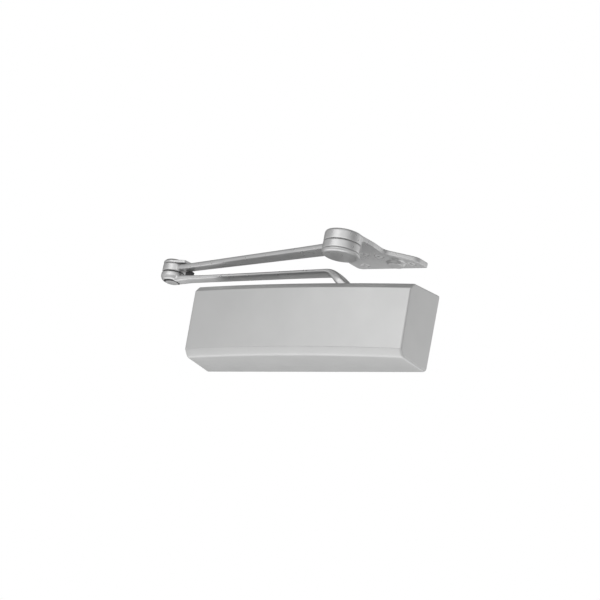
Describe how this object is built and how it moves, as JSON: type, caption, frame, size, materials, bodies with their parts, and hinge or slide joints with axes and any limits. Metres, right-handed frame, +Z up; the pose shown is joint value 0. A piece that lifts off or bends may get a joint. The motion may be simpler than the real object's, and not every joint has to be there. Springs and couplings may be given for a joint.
{
  "type": "door closer",
  "caption": "Surface-mounted hydraulic door closer with a bowed rectangular cover, forged double-lever arm and triangular soffit shoe.",
  "frame": {"origin": "centre of the mounting plate's back face, which lies against the door", "axes": "+X along the cover towards the spindle's end, +Y into the door, +Z up"},
  "size_m": [0.3983, 0.1261, 0.1456],
  "materials": {
    "cover_paint": "satin aluminium paint",
    "forged_steel": "satin aluminium paint on forged steel",
    "body_casting": "painted sand casting",
    "machined_steel": "turned and ground",
    "zinc_steel": "zinc plated sheet",
    "plated_fasteners": "bright zinc plated",
    "bronze": "sintered bronze",
    "brass": "turned brass",
    "spring_steel": "oil tempered",
    "seal_rubber": "moulded nitrile rubber"
  },
  "bodies": {
    "closer": {"cover": "cover_paint", "mounting_plate": "zinc_steel", "plate_screw_1": "plated_fasteners", "plate_screw_2": "plated_fasteners", "plate_screw_3": "plated_fasteners", "plate_screw_4": "plated_fasteners", "cover_clip_1": "plated_fasteners", "cover_clip_2": "plated_fasteners", "cover_clip_3": "plated_fasteners", "cover_clip_4": "plated_fasteners", "closer_body": "body_casting", "body_bolt_1": "plated_fasteners", "body_bolt_2": "plated_fasteners", "body_bolt_3": "plated_fasteners", "body_bolt_4": "plated_fasteners", "spring_end_plug": "machined_steel", "closed_end_plug": "machined_steel", "spring_plug_o_ring": "seal_rubber", "closed_plug_o_ring": "seal_rubber", "upper_needle_bearing": "plated_fasteners", "lower_needle_bearing": "plated_fasteners", "upper_shaft_seal": "seal_rubber", "lower_shaft_seal": "seal_rubber", "upper_seal_retainer": "plated_fasteners", "lower_seal_retainer": "plated_fasteners", "spring_seat": "machined_steel", "main_spring": "spring_steel"},
    "spindle": {"pinion_shaft": "machined_steel", "main_arm": "forged_steel", "arm_hub_screw": "plated_fasteners", "elbow_pin": "forged_steel", "elbow_thrust_washer": "bronze"},
    "piston": {"rack_piston": "machined_steel", "piston_ring": "bronze", "check_valve": "brass"},
    "forearm": {"forearm": "forged_steel", "elbow_bushing": "bronze", "shoe_bushing": "bronze", "elbow_cap": "forged_steel"},
    "shoe": {"soffit_shoe": "forged_steel", "shoe_screw_1": "plated_fasteners", "shoe_screw_2": "plated_fasteners", "shoe_screw_3": "plated_fasteners", "shoe_screw_4": "plated_fasteners", "shoe_pivot_pin": "machined_steel", "shoe_pivot_cap": "forged_steel"},
    "backcheck_valve": {"backcheck_valve": "brass"},
    "latch_valve": {"latch_valve": "brass"},
    "sweep_valve": {"sweep_valve": "brass"},
    "power_adjuster": {"power_adjusting_screw": "plated_fasteners"}
  },
  "joints": [
    {"name": "spindle_turn", "type": "hinge", "parent": "closer", "child": "spindle", "pos_m": [0.045, -0.03, 0.05], "axis": [0, 0, 1], "range_deg": [0, 170], "stiffness_Nm_per_rad": 12, "springref_deg": -42.97},
    {"name": "piston_slide", "type": "slide", "parent": "closer", "child": "piston", "axis": [-1, 0, 0], "range_m": [0, 0.034], "deforming": ["main_spring"]},
    {"name": "elbow_turn", "type": "hinge", "parent": "spindle", "child": "forearm", "pos_m": [-0.2227, -0.03, 0.0785], "axis": [0, 0, 1], "range_deg": [-150, 8]},
    {"name": "shoe_turn", "type": "hinge", "parent": "forearm", "child": "shoe", "pos_m": [0.0678, -0.091, 0.078], "axis": [0, 0, 1], "range_deg": [-60, 110]},
    {"name": "backcheck_valve_turn", "type": "hinge", "parent": "closer", "child": "backcheck_valve", "pos_m": [0.1, -0.05, 0.028], "axis": [0, -1, 0], "range_deg": [0, 360]},
    {"name": "latch_valve_turn", "type": "hinge", "parent": "closer", "child": "latch_valve", "pos_m": [0.115, -0.05, 0.028], "axis": [0, -1, 0], "range_deg": [0, 360]},
    {"name": "sweep_valve_turn", "type": "hinge", "parent": "closer", "child": "sweep_valve", "pos_m": [0.13, -0.05, 0.028], "axis": [0, -1, 0], "range_deg": [0, 360]},
    {"name": "power_adjuster_turn", "type": "hinge", "parent": "closer", "child": "power_adjuster", "pos_m": [-0.14, -0.03, 0], "axis": [-1, 0, 0], "range_deg": [0, 360]}
  ],
  "couplings": [
    {"joint": "piston_slide", "follows": "spindle_turn", "m_per_rad": 0.011}
  ]
}
